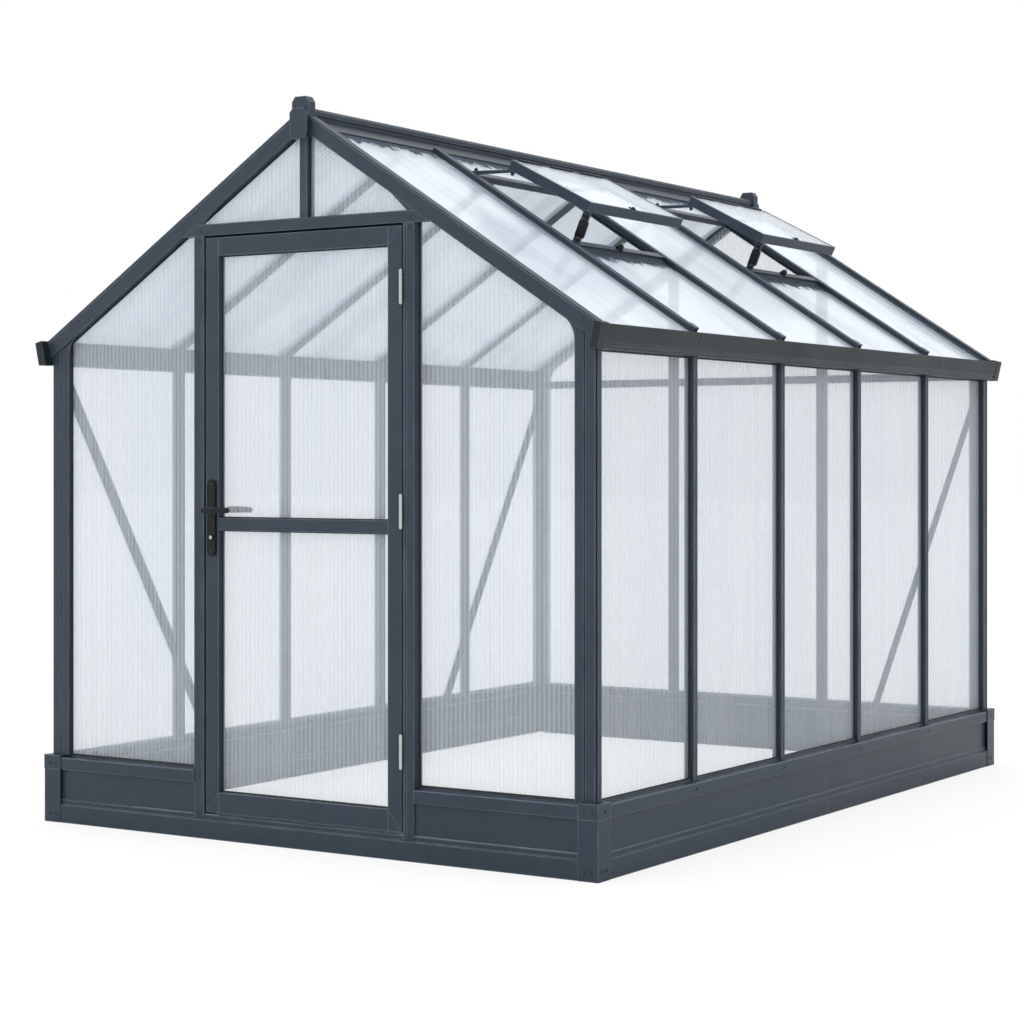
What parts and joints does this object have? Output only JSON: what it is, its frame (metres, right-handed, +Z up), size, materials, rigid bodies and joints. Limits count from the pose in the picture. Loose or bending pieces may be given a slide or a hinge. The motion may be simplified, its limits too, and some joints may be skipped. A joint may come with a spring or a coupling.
{
  "type": "polycarbonate greenhouse",
  "caption": "Apex greenhouse with a dark aluminium frame, twin-wall sheets, a hinged front door, base plates, gutters and open roof vents.",
  "frame": {"origin": "centre of the base's footprint, at ground level", "axes": "+X to the right seen from the front, +Y from the door end to the rear, +Z up"},
  "size_m": [2.2114, 3.182, 2.35],
  "materials": {
    "frame_paint": "satin powder coat",
    "gutter_paint": "satin powder coat",
    "wall_sheet": "clear twin-wall, finely ribbed",
    "roof_sheet": "clear twin-wall, finely ribbed",
    "bright_steel": "satin",
    "handle_black": "satin black"
  },
  "bodies": {
    "house": {"base_front_skirt": "frame_paint", "base_front_panels": "frame_paint", "base_rear": "frame_paint", "base_left": "frame_paint", "base_right": "frame_paint", "base_corners": "frame_paint", "gable_sills": "frame_paint", "side_sills": "frame_paint", "door_threshold": "frame_paint", "corner_posts": "frame_paint", "side_posts_left": "frame_paint", "side_posts_right": "frame_paint", "door_jambs": "frame_paint", "door_header": "frame_paint", "king_post": "frame_paint", "rear_posts": "frame_paint", "rear_tie": "frame_paint", "gutter_left": "gutter_paint", "gutter_right": "gutter_paint", "gutter_end_caps": "gutter_paint", "ridge_beam": "frame_paint", "ridge_end_caps": "frame_paint", "verge_rafters": "frame_paint", "roof_bars_left": "frame_paint", "roof_bars_right": "frame_paint", "vent_crossbars": "frame_paint", "vent_frames": "frame_paint", "vent_stays": "frame_paint", "wall_braces": "frame_paint", "frame_gussets": "frame_paint", "side_sheets_left": "wall_sheet", "side_sheets_right": "wall_sheet", "front_sheets": "wall_sheet", "rear_sheets": "wall_sheet", "roof_sheets_left": "roof_sheet", "roof_sheets_right": "roof_sheet", "vent_sheets": "roof_sheet", "jamb_hinges": "bright_steel"},
    "door": {"door_stiles": "frame_paint", "door_rails": "frame_paint", "door_sheets": "wall_sheet", "door_hinges": "bright_steel", "handle_plates": "handle_black", "lock_cylinder": "bright_steel"},
    "lever": {"door_levers": "handle_black"}
  },
  "joints": [
    {"name": "door_swing", "type": "hinge", "parent": "house", "child": "door", "pos_m": [0.3875, -1.558, 1], "axis": [0, 0, 1], "range_deg": [0, 165]},
    {"name": "lever_turn", "type": "hinge", "parent": "door", "child": "lever", "pos_m": [-0.3585, -1.535, 1.05519], "axis": [0, 1, 0], "range_deg": [0, 40], "stiffness_Nm_per_rad": 1.6, "springref_deg": -22.92}
  ]
}
